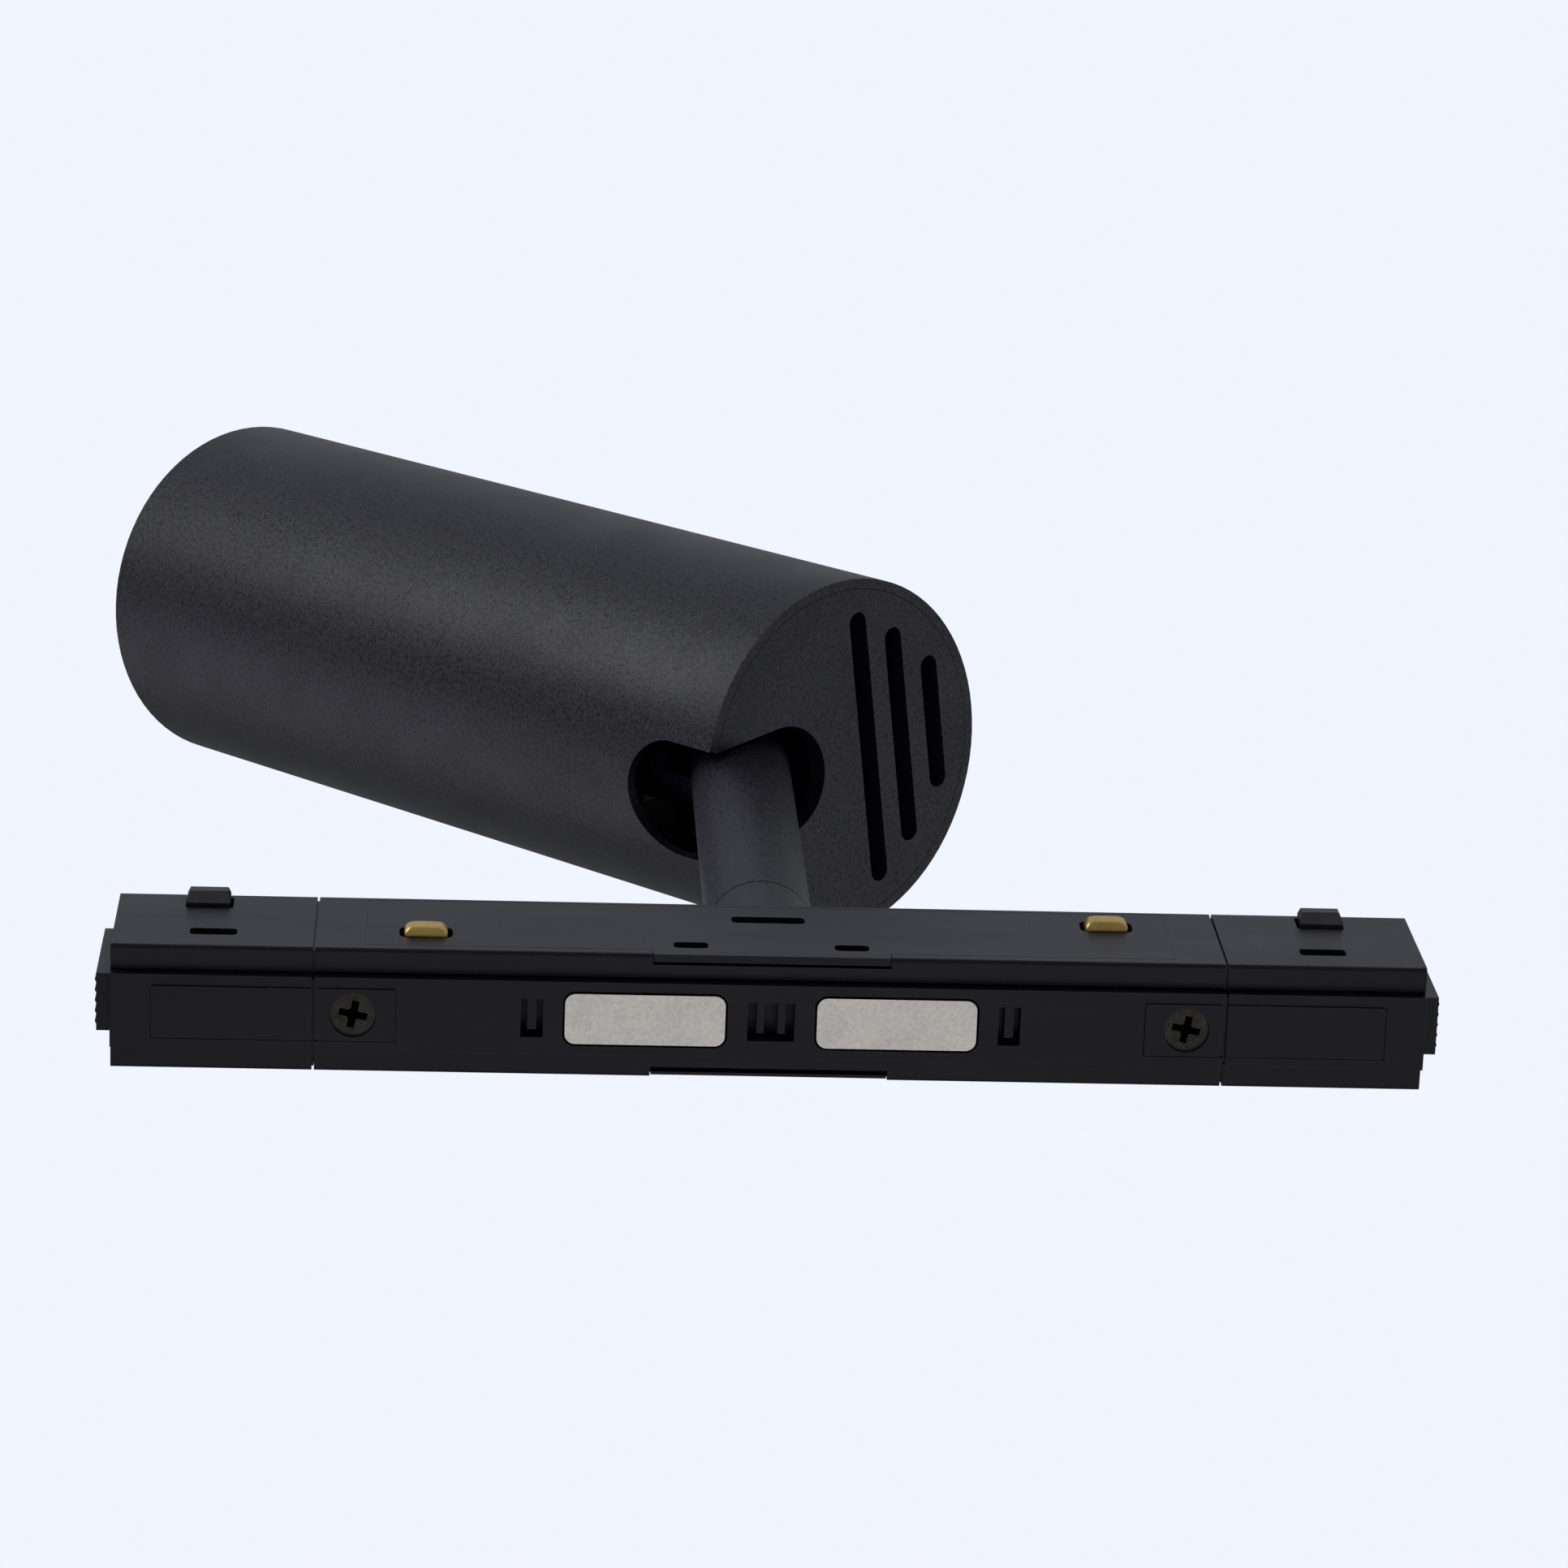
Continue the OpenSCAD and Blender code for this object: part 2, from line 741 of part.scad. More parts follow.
module stem_tube() {
    color(black_coat)
        difference() {
            translate([0, 0, stem_low_z]) cylinder(r = stem_r, h = stem_top_z - stem_low_z);
            translate([0, 0, stem_low_z - 1]) cylinder(r = stem_bore_r, h = stem_top_z - stem_low_z - 9);
            translate([0, 0, stem_top_z - 12]) cylinder(r = spindle_r, h = 13);
        }
}

module pan_spindle() {
    top_z = floor_z + collar_nut_t + 2.6;
    low_z = stem_top_z - 10;
    color(steel_colour)
        translate([0, 0, low_z])
            ring(spindle_r, spindle_bore_r, top_z - low_z);
}

module pan_lock_nut() {
    color(steel_colour)
        translate([0, 0, floor_z + collar_nut_t + 0.65]) hex_nut(6.2, spindle_r, 1.6);
}

// Half a knuckle: a round end on the tilt axis, lapped to the +Y side, with a full ring beyond it
module half_knuckle(ring_end) {
    intersection() {
        union() {
            sphere(stem_r);
            cylinder(r = stem_r, h = knuckle_reach + 0.5);
        }
        box_between([-stem_r - 1, lap_gap, -stem_r - 1], [stem_r + 1, stem_r + 1, knuckle_reach + 0.2]);
    }
    translate([0, 0, knuckle_reach]) cylinder(r = stem_r, h = ring_end - knuckle_reach);
}

module stem_knuckle() {
    color(black_coat)
        at_stem()
            difference() {
                union() {
                    half_knuckle(knuckle_reach + knuckle_ring);
                    translate([0, 0, knuckle_reach]) cylinder(r = stem_bore_r, h = 8);
                }
                translate([0, 0, knuckle_reach - 1]) cylinder(r = spindle_bore_r, h = 12);
                rotate([-90, 0, 0]) cylinder(r = pin_r + running_fit, h = stem_r);
                translate([0, seat_y, 0]) rotate([-90, 0, 0]) cylinder(r = 3.8, h = stem_r);
            }
}

module stem_lead() {
    color([0.5, 0.06, 0.05])
        for (y = [-1, 1])
            translate([0, y, 0])
                wire_run([[0, 0, -24.3], [0, 0, 12 - pivot_drop]], 0.6);
}

// ---------- arm: drawn with the tilt axis at the origin, running towards -Z ----------

module arm_knuckle() {
    color(black_coat)
        at_arm()
            difference() {
                union() {
                    rotate([180, 0, 0]) half_knuckle(arm_body_l);
                    translate([0, 0, -arm_l]) cylinder(r = arm_thread_r, h = arm_l - arm_body_l + 1);
                }
                translate([0, 0, -arm_l - 1]) cylinder(r = arm_bore_r, h = arm_l - knuckle_reach + 2);
                translate([0, -5.2, 0]) rotate([-90, 0, 0]) cylinder(r = pin_r, h = 8);
            }
}

module tilt_screw() {
    head_t = 1.8;
    color(steel_colour)
        at_arm()
            rotate([-90, 0, 0])
                difference() {
                    union() {
                        translate([0, 0, -5]) cylinder(r = pin_r, h = 5 + seat_y + 1);
                        translate([0, 0, seat_y + 0.55]) cylinder(r = 3.4, h = head_t);
                    }
                    translate([0, 0, seat_y + 1.3]) cylinder(r = 1.6, h = head_t, $fn = 6);
                }
}

module tilt_washer() {
    color(steel_colour)
        at_arm()
            translate([0, seat_y + 0.05, 0])
                rotate([-90, 0, 0])
                    ring(3.6, pin_r, 0.5);
}

module arm_collar() {
    color(black_coat)
        at_arm()
            translate([0, 0, -arm_collar_h[1]])
                ring(6.6, arm_thread_r, arm_collar_h[1] - arm_collar_h[0]);
}

module arm_washer() {
    color(steel_colour)
        at_arm()
            translate([0, 0, -arm_washer_h[1]])
                ring(7.2, arm_thread_r, arm_washer_h[1] - arm_washer_h[0]);
}

module rear_arm_nut() {
    color(steel_colour)
        at_arm()
            translate([0, 0, axis_depth - sink_h])
                hex_nut(arm_nut_r, arm_thread_r, sink_h - axis_depth - arm_washer_h[1]);
}

module front_arm_nut() {
    color(steel_colour)
        at_arm()
            translate([0, 0, axis_depth - sink_h - bulkhead_t + nut_seat_t - front_nut_l])
                hex_nut(arm_nut_r, arm_thread_r, front_nut_l);
}

// ---------- head: z = 0 at the rear face, the light leaves towards -Z ----------

// The slot that lets the stem swing from the rear face to the side wall
module stem_notch(radius, depth) {
    translate([-axis_offset, 0, -depth]) {
        cylinder(r = radius, h = depth + 1);
        translate([-head_r, -radius, 0]) cube([head_r, 2 * radius, depth + 1]);
    }
}

module head_tube() {
    color(black_coat)
        at_head()
            difference() {
                translate([0, 0, -head_l]) cylinder(r = head_r, h = head_l);
                translate([0, 0, -head_l - 1]) cylinder(r = bore_r, h = head_l + 2);
                translate([-head_r - 1, 0, -side_notch_h])
                    rotate([0, 90, 0])
                        cylinder(r = side_notch_r, h = head_r);
                translate([-head_r - 1, -side_notch_r, -side_notch_h])
                    cube([head_r, 2 * side_notch_r, side_notch_h + 1]);
            }
}

module rear_cap() {
    color(black_coat)
        at_head()
            difference() {
                union() {
                    translate([0, 0, -cap_t]) cylinder(r = cap_r, h = cap_t);
                    translate([0, 0, -cap_t - skirt_l]) ring(cap_r, cap_r - skirt_t, skirt_l + 1);
                }
                stem_notch(notch_r, cap_t + skirt_l + 1);
                translate([-head_r - 1, -side_notch_r - 0.3, -cap_t - skirt_l - 1])
                    cube([head_r - 8, 2 * side_notch_r + 0.6, skirt_l + 1]);
                for (i = [0 : len(slot_lengths) - 1])
                    translate([5.2 + i * slot_pitch, 0, -cap_t - 1])
                        round_slot(slot_w, slot_lengths[i], cap_t + 2);
            }
}

module heat_sink() {
    sink_r = bore_r - fit_gap;
    nut_clear_r = arm_nut_r + 0.5;
    nut_clear_l = front_nut_l + 2.5;
    color([0.3, 0.3, 0.32])
        difference() {
            union() {
                at_depth(sink_h + bulkhead_t) cylinder(r = sink_r, h = bulkhead_t);
                at_depth(led_h) cylinder(r = sink_r, h = plate_t);
                at_depth(led_h - plate_t + 1) cylinder(r = core_r, h = fin_l + 2);
                for (i = [0 : fin_count - 1])
                    at_depth(led_h - plate_t + 1)
                        rotate([0, 0, (i + 0.5) * 360 / fin_count])
                            translate([core_r - 1, -fin_t / 2, 0])
                                cube([sink_r - core_r, fin_t, fin_l + 2]);
            }
            at_depth(sink_h + bulkhead_t + nut_clear_l)
                translate([-axis_offset, 0, 0])
                    cylinder(r = nut_clear_r, h = nut_clear_l + nut_seat_t);
            at_depth(sink_h + bulkhead_t + 1)
                translate([-axis_offset, 0, 0])
                    cylinder(r = arm_thread_r, h = bulkhead_t + 2);
            at_depth(led_h + 1)
                translate([-axis_offset, 0, 0])
                    cylinder(r = 1.7, h = plate_t + 2);
            at_depth(led_h + 1)
                for (side = [-1, 1])
                    translate([0, side * holder_screw_r, 0])
                        cylinder(r = screw_r, h = plate_t + 1);
        }
}

module head_lead() {
    start = sink_h + bulkhead_t + 3;
    color([0.5, 0.06, 0.05])
        at_head()
            for (y = [-1, 1])
                wire_run([[-axis_offset, y, -start], [-axis_offset, y, -led_h - 0.3]], 0.6);
}

module led_board() {
    color([0.85, 0.85, 0.85])
        difference() {
            at_depth(led_h + led_board_t) cylinder(r = led_board_r, h = led_board_t);
            at_depth(led_h + led_board_t + 1)
                translate([-axis_offset, 0, 0])
                    cylinder(r = 2, h = led_board_t + 2);
        }
}

module led_emitter() {
    color([0.95, 0.85, 0.3])
        at_depth(led_h + led_board_t + emitter_t) cylinder(r = emitter_r, h = emitter_t);
}

module led_holder() {
    color([0.9, 0.9, 0.88])
        at_depth(led_h + holder_t)
            difference() {
                cylinder(r = holder_r, h = holder_t);
                translate([0, 0, -1]) cylinder(r = holder_bore_r, h = holder_t + 2);
                translate([0, 0, holder_t - led_board_t]) cylinder(r = led_board_r + fit_gap, h = 3);
                for (side = [-1, 1])
                    translate([0, side * holder_screw_r, -1])
                        cylinder(r = screw_r + 0.1, h = holder_t + 2);
            }
}

module holder_screws() {
    color(steel_colour)
        at_depth(led_h + holder_t)
            for (side = [-1, 1])
                translate([0, side * holder_screw_r, 0])
                    difference() {
                        union() {
                            cylinder(r = screw_r, h = holder_t + plate_t - 0.5);
                            translate([0, 0, -1.6]) cylinder(r = 1.9, h = 1.6);
                        }
                        translate([0, 0, -2]) cylinder(r = 0.9, h = 1.4, $fn = 6);
                    }
}

// The radius of the reflector's inside at a share of its length from the LED
function reflector_radius(share) =
    reflector_in_r + (reflector_out_r - reflector_in_r) * pow(share, 0.62);

module reflector() {
    shares = [for (i = [0 : 8]) i / 8];
    inside = [for (s = shares) [reflector_radius(s), -s * reflector_l]];
    outside = [for (i = [8 : -1 : 0]) [reflector_radius(shares[i]) + reflector_t, -shares[i] * reflector_l]];
    color([0.85, 0.85, 0.86])
        at_depth(reflector_h) {
            rotate_extrude() polygon(concat(inside, outside));
            translate([0, 0, -reflector_l])
                ring(bore_r - fit_gap, reflector_out_r + reflector_t / 2, 1);
        }
}

module glass_gasket() {
    color([0.1, 0.1, 0.1])
        at_depth(gasket_h + gasket_t) ring(bore_r - fit_gap, 22.4, gasket_t);
}

module front_glass() {
    color([0.8, 0.85, 0.85, 0.4])
        at_depth(glass_h + glass_t) cylinder(r = bore_r - 2 * fit_gap, h = glass_t);
}

// The anti-glare sleeve: stepped rings that widen towards the front
module baffle() {
    outer_r = bore_r - fit_gap;
    length = ring_h - baffle_h;
    step_l = length / baffle_steps;
    rear_r = 20.6;
    front_r = 22.6;
    color(black_coat)
        at_depth(baffle_h)
            difference() {
                translate([0, 0, -length]) cylinder(r = outer_r, h = length);
                for (i = [0 : baffle_steps - 1])
                    translate([0, 0, -(i + 1) * step_l - 0.01])
                        cylinder(r1 = rear_r + (front_r - rear_r) * (i + 1) / baffle_steps + 0.5,
                                 r2 = rear_r + (front_r - rear_r) * i / baffle_steps, h = step_l + 0.02);
            }
}

module front_ring() {
    color(black_coat)
        at_depth(ring_h + ring_l)
            difference() {
                cylinder(r = bore_r - fit_gap, h = ring_l);
                translate([0, 0, -0.01]) cylinder(r1 = 23.4, r2 = 22.6, h = ring_l + 0.02);
            }
}

housing();
carrier();
tray();
magnets();
keeper_plates();
carrier_screws();
side_cover_contacts();
side_cover_plain();
contact_left();
contact_right();
contact_guide_left();
contact_guide_right();
contact_spring_left();
contact_spring_right();
circuit_board();
inductor();
capacitor();
driver_chip();
terminal_block();
adapter_lead();
stem_collar();
collar_nut();
pan_washer();
tie_pins();
end_housing_left();
end_housing_right();
end_base_left();
end_base_right();
latch_slider_left();
latch_slider_right();
latch_tooth_left();
latch_tooth_right();
latch_spring_left();
latch_spring_right();
stem_tube();
pan_spindle();
pan_lock_nut();
stem_knuckle();
stem_lead();
arm_knuckle();
tilt_screw();
tilt_washer();
arm_collar();
arm_washer();
rear_arm_nut();
front_arm_nut();
head_tube();
rear_cap();
heat_sink();
head_lead();
led_board();
led_emitter();
led_holder();
holder_screws();
reflector();
glass_gasket();
front_glass();
baffle();
front_ring();
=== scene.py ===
import json
import math

import bmesh
import bpy
from mathutils import Matrix, Vector


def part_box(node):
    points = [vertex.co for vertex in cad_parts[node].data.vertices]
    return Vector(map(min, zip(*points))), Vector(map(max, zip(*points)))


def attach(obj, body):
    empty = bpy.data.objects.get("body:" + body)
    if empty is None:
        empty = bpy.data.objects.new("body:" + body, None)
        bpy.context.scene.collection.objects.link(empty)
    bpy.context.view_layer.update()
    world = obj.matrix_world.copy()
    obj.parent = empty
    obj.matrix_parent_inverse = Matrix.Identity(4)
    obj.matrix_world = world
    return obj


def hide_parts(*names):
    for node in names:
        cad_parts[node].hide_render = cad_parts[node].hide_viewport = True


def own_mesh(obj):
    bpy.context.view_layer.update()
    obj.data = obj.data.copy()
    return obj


MM = 0.001
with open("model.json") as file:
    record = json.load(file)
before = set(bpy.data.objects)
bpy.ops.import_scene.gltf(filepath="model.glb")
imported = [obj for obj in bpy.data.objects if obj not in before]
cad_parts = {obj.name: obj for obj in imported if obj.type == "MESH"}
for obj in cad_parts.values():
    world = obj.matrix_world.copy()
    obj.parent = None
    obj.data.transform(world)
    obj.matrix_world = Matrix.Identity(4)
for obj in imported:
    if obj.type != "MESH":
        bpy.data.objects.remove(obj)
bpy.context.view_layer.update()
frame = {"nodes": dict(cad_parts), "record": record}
nodes = frame["nodes"]


# ---------- material tools ----------

class Net:
    """A node material with short calls for the nodes that these finishes share."""

    def __init__(self, name):
        self.material = bpy.data.materials.new(name)
        self.material.use_nodes = True
        self.tree = self.material.node_tree
        self.tree.nodes.clear()
        self.shader = self.add("ShaderNodeBsdfPrincipled")
        self.surface = self.add("ShaderNodeOutputMaterial")
        self.link(self.shader.outputs["BSDF"], self.surface.inputs["Surface"])
        self.where = self.add("ShaderNodeTexCoord").outputs["Object"]

    def add(self, kind, **settings):
        node = self.tree.nodes.new(kind)
        for key, value in settings.items():
            setattr(node, key, value)
        return node

    def link(self, a, b):
        self.tree.links.new(a, b)

    def stretched(self, scale):
        """Object coordinates scaled differently along each axis."""
        node = self.add("ShaderNodeMapping")
        node.inputs["Scale"].default_value = scale
        self.link(self.where, node.inputs["Vector"])
        return node.outputs["Vector"]

    def along(self, axis):
        """The object coordinate along one axis."""
        node = self.add("ShaderNodeSeparateXYZ")
        self.link(self.where, node.inputs["Vector"])
        return node.outputs[axis]

    def noise(self, size, detail=2.0, rough=0.5, where=None):
        """Noise whose features are about size metres across."""
        node = self.add("ShaderNodeTexNoise")
        node.inputs["Scale"].default_value = 1.0 / size
        node.inputs["Detail"].default_value = detail
        node.inputs["Roughness"].default_value = rough
        self.link(where or self.where, node.inputs["Vector"])
        return node.outputs["Fac"]

    def cells(self, size):
        """Soft cells about size metres across, 0 at their middles."""
        node = self.add("ShaderNodeTexVoronoi", feature="SMOOTH_F1")
        node.inputs["Scale"].default_value = 1.0 / size
        self.link(self.where, node.inputs["Vector"])
        return node.outputs["Distance"]

    def spread(self, value, low, high, start=0.3, end=0.7):
        """A value between start and end mapped to low and high; the defaults are where noise lies."""
        node = self.add("ShaderNodeMapRange")
        for key, number in (("From Min", start), ("From Max", end), ("To Min", low), ("To Max", high)):
            node.inputs[key].default_value = number
        self.link(value, node.inputs["Value"])
        return node.outputs["Result"]

    def math(self, what, a, b):
        """One sum of two numbers or sockets."""
        node = self.add("ShaderNodeMath", operation=what)
        for socket, value in zip(node.inputs, (a, b)):
            if isinstance(value, (int, float)):
                socket.default_value = value
            else:
                self.link(value, socket)
        return node.outputs[0]

    def mix(self, fac, a, b):
        """Colour a where fac is 0 and b where it is 1; each is a colour or a socket."""
        node = self.add("ShaderNodeMix", data_type="RGBA")
        fac_in, a_in, b_in = node.inputs[0], node.inputs[6], node.inputs[7]
        self.link(fac, fac_in)
        for socket, value in ((a_in, a), (b_in, b)):
            if isinstance(value, tuple):
                socket.default_value = (*value, 1.0)
            else:
                self.link(value, socket)
        return node.outputs[2]

    def edge(self, radius):
        """0 on flat faces, up to 1 on edges."""
        start, full = 0.02, 0.35
        round_normal = self.add("ShaderNodeBevel", samples=4)
        round_normal.inputs["Radius"].default_value = radius
        flat_normal = self.add("ShaderNodeNewGeometry").outputs["Normal"]
        node = self.add("ShaderNodeVectorMath", operation="DOT_PRODUCT")
        self.link(round_normal.outputs["Normal"], node.inputs[0])
        self.link(flat_normal, node.inputs[1])
        return self.spread(self.math("SUBTRACT", 1.0, node.outputs["Value"]), 0.0, 1.0, start, full)

    def bump(self, height, depth):
        """A normal for a height whose full swing is depth metres."""
        node = self.add("ShaderNodeBump")
        node.inputs["Distance"].default_value = depth
        self.link(height, node.inputs["Height"])
        return node.outputs["Normal"]

    def finish(self, colour, rough, normal=None, shine=None, **plain):
        """Joins the worked-out values to the shader and sets the plain ones on its own sockets."""
        if isinstance(colour, tuple):
            self.shader.inputs["Base Color"].default_value = (*colour, 1.0)
        else:
            self.link(colour, self.shader.inputs["Base Color"])
        for key, value in (("Roughness", rough), ("Normal", normal), ("Specular IOR Level", shine)):
            if value is not None:
                self.link(value, self.shader.inputs[key])
        for key, value in plain.items():
            self.shader.inputs[key.replace("_", " ")].default_value = value
        return self.material


def powder_coat(name, colour, grain=0.42 * MM, rough=(0.34, 0.52), depth=0.04 * MM):
    """Fine-grain powder coat: a pebbled film with dull pits, a little lighter on edges, partly rub wear and
    partly a painted edge highlight.
    """
    net = Net(name)
    pebble = net.noise(grain, detail=3.0, rough=0.6)
    film = net.noise(9 * MM)
    # edge mask for a lighter colour: partly rub wear, partly a painted edge highlight
    wear_and_edge_highlight = net.math("MULTIPLY", net.edge(0.35 * MM), net.spread(net.noise(3 * MM, detail=4.0), 0.0, 0.5))
    dark = tuple(0.72 * c for c in colour)
    tone = net.mix(net.spread(pebble, 0.0, 1.0), dark, colour)
    # painted edge highlight with wear: edges mixed towards a lighter colour
    tone = net.mix(wear_and_edge_highlight, tone, tuple(min(1.0, 2.6 * c + 0.02) for c in colour))
    gloss = net.math("ADD", net.spread(pebble, *rough), net.spread(film, -0.03, 0.03))
    return net.finish(tone, gloss, net.bump(pebble, depth), net.spread(pebble, 0.15, 0.85), IOR=1.5)


def moulded(name, colour, rough=(0.30, 0.44), grain=0.20 * MM, depth=0.012 * MM):
    """Satin moulded plastic: spark-eroded skin, faint flow marks, a little lighter on its edges as wear and a
    painted edge highlight.
    """
    net = Net(name)
    skin = net.noise(grain, rough=0.6)
    flow = net.noise(1.0, detail=3.0, rough=0.55, where=net.stretched((28, 130, 130)))
    # edge mask for a lighter colour: partly wear, partly a painted edge highlight
    wear_and_edge_highlight = net.math("MULTIPLY", net.edge(0.3 * MM), net.spread(net.noise(2 * MM, detail=3.0), 0.2, 0.9))
    tone = net.mix(net.spread(flow, 0.0, 1.0), tuple(0.82 * c for c in colour), colour)
    # painted edge highlight with wear: edges mixed towards a lighter colour
    tone = net.mix(wear_and_edge_highlight, tone, tuple(min(1.0, 2.2 * c + 0.03) for c in colour))
    gloss = net.math("ADD", net.spread(skin, *rough), net.spread(flow, -0.03, 0.03))
    return net.finish(tone, gloss, net.bump(skin, depth), net.spread(skin, 0.4, 0.6), IOR=1.42)


def metal(name, colour, rough=(0.22, 0.36), lines=None, depth=0.004 * MM, stain=0.12):
    """Bare or plated metal, brushed along one axis where lines gives the scale of the coordinates."""
    net = Net(name)
    if lines:
        brush = net.noise(1.0, detail=4.0, rough=0.6, where=net.stretched(lines))
    else:
        brush = net.noise(0.5 * MM, detail=4.0, rough=0.6)
    cloud = net.noise(5 * MM, detail=4.0, rough=0.6)
    tone = net.mix(net.spread(cloud, 0.0, 1.0), tuple((1 - stain) * c for c in colour), colour)
    gloss = net.math("ADD", net.spread(brush, *rough), net.spread(cloud, -0.04, 0.06))
    return net.finish(tone, gloss, net.bump(brush, depth), Metallic=1.0)


def blackened_screw(name):
    """Blackened steel with a brownish cast, with painted shade making the recess below the top of the head
    near black.
    """
    net = Net(name)
    mouth_z, painted_shade_z = -0.3 * MM, -0.55 * MM
    cloud = net.noise(1.5 * MM, detail=4.0, rough=0.6)
    # painted shade: a mask that rises towards the recess below the top of the head
    recess = net.spread(net.along("Z"), 1.0, 0.0, painted_shade_z, mouth_z)
    tone = net.mix(net.spread(cloud, 0.0, 1.0), (0.042, 0.040, 0.034), (0.070, 0.066, 0.056))
    # painted shade in the recess: near-black colour
    tone = net.mix(recess, tone, (0.003, 0.003, 0.003))
    polish = net.spread(net.noise(0.4 * MM, detail=3.0), 0.32, 0.48)
    gloss = net.math("ADD", polish, net.math("MULTIPLY", recess, 0.4))
    return net.finish(tone, gloss, net.bump(cloud, 0.01 * MM), Metallic=1.0)


def clear_glass(name):
    """Clear glass with a faint haze."""
    net = Net(name)
    haze = net.noise(6 * MM, detail=3.0)
    return net.finish((0.96, 0.98, 0.97), net.spread(haze, 0.0, 0.03), Transmission_Weight=1.0, IOR=1.5)


def phosphor(name):
    """A chip-on-board emitter: many small chips under a yellow silicone film."""
    net = Net(name)
    chips = net.cells(0.9 * MM)
    tone = net.mix(net.spread(chips, 0.0, 1.0, 0.1, 0.6), (0.86, 0.62, 0.06), (0.72, 0.47, 0.03))
    return net.finish(tone, net.spread(net.noise(1.2 * MM), 0.25, 0.4), net.bump(chips, 0.04 * MM),
                      Coat_Weight=0.5, Coat_Roughness=0.15)


BLACK = (0.0068, 0.0056, 0.0165)
finishes = {
    "powder_coat": powder_coat("powder_coat", (0.0125, 0.0110, 0.0230)),
    "matt_black": powder_coat("matt_black", (0.006, 0.006, 0.0065), grain=0.3 * MM, rough=(0.6, 0.8)),
    "adapter_plastic": moulded("adapter_plastic", BLACK),
    "board_green": moulded("board_green", (0.01, 0.07, 0.025), rough=(0.2, 0.3)),
    "board_white": moulded("board_white", (0.7, 0.7, 0.68), rough=(0.25, 0.4)),
    "component_black": moulded("component_black", (0.012, 0.012, 0.012)),
    "ferrite_grey": moulded("ferrite_grey", (0.035, 0.034, 0.033), rough=(0.5, 0.7),
                            grain=0.3 * MM, depth=0.02 * MM),
    "gasket_rubber": moulded("gasket_rubber", (0.012, 0.012, 0.012), rough=(0.6, 0.8)),
    "holder_white": moulded("holder_white", (0.68, 0.67, 0.64), rough=(0.35, 0.45)),
    "lead_red": moulded("lead_red", (0.25, 0.012, 0.01), rough=(0.3, 0.4)),
    "sleeve_blue": moulded("sleeve_blue", (0.012, 0.02, 0.07), rough=(0.15, 0.25)),
    "terminal_green": moulded("terminal_green", (0.01, 0.09, 0.03)),
    "contact_brass": metal("contact_brass", (0.88, 0.63, 0.20), rough=(0.25, 0.42),
                           lines=(500, 2500, 2500), depth=0.008 * MM, stain=0.3),
    "latch_steel": metal("latch_steel", (0.095, 0.09, 0.092), rough=(0.25, 0.5),
                         lines=(400, 4000, 4000), depth=0.015 * MM, stain=0.3),
    "magnet_nickel": metal("magnet_nickel", (0.90, 0.86, 0.80), rough=(0.28, 0.40),
                           depth=0.003 * MM, stain=0.07),
    "reflector_metal": metal("reflector_metal", (0.88, 0.88, 0.89), rough=(0.04, 0.10),
                             depth=0.0008 * MM, stain=0.03),
    "sink_aluminium": metal("sink_aluminium", (0.10, 0.10, 0.105), rough=(0.35, 0.5),
                            lines=(2500, 2500, 200)),
    "spring_steel": metal("spring_steel", (0.6, 0.6, 0.62), rough=(0.2, 0.3)),
    "zinc_steel": metal("zinc_steel", (0.55, 0.56, 0.58), rough=(0.25, 0.4)),
    "dark_screw": blackened_screw("dark_screw"),
    "clear_glass": clear_glass("clear_glass"),
    "phosphor_yellow": phosphor("phosphor_yellow"),
}
finish_of = {row["node"]: row["material_slot"] for row in frame["record"]["subparts"]}


def coat(obj, name):
    """Gives an object one of the finishes, in every slot its mesh has."""
    if not obj.data.materials:
        obj.data.materials.append(finishes[name])
    for slot in obj.material_slots:
        slot.link = "OBJECT"
        slot.material = finishes[name]


for name, obj in nodes.items():
    coat(obj, finish_of[name])


# ---------- edges of the machined and moulded parts ----------

SHARP_ANGLE = math.radians(32)


def soften(names, width, segments=2):
    """Rounds the sharp edges of CAD nodes with real geometry."""
    for name in names:
        bevel = nodes[name].modifiers.new("edges", "BEVEL")
        bevel.width = width
        bevel.segments = segments
        bevel.limit_method = "ANGLE"
        bevel.angle_limit = SHARP_ANGLE
        bevel.harden_normals = True
        bevel.miter_outer = "MITER_ARC"


soften(["head_tube", "rear_cap", "stem_tube", "stem_collar", "front_ring", "arm_collar"], 0.22 * MM)
soften(["stem_knuckle", "arm_knuckle"], 0.3 * MM)
soften(["housing", "end_housing_left", "end_housing_right", "carrier"], 0.14 * MM)
soften(["side_cover_contacts", "side_cover_plain", "end_base_left", "end_base_right", "tray"], 0.12 * MM)
soften(["latch_slider_left", "latch_slider_right"], 0.4 * MM, 3)
soften(["latch_tooth_left", "latch_tooth_right"], 0.4 * MM, 3)
soften(["magnets"], 0.3 * MM, 3)
soften(["carrier_screws", "tilt_screw", "tilt_washer", "arm_washer"], 0.1 * MM)
soften(["heat_sink", "led_holder", "rear_arm_nut", "front_arm_nut", "pan_lock_nut", "collar_nut"], 0.15 * MM)


# ---------- pieces made here ----------

body_of = {node: body for body, held in frame["record"]["behaviour"]["bodies"].items() for node in held}


def middle_of(node):
    """The middle of a node's box at rest."""
    low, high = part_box(node)
    return (Vector(low) + Vector(high)) / 2


def stands_for(piece, node):
    """Makes a new piece take a CAD node's place, body and finish."""
    coat(piece, finish_of[node])
    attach(piece, body_of[node])
    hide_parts(node)


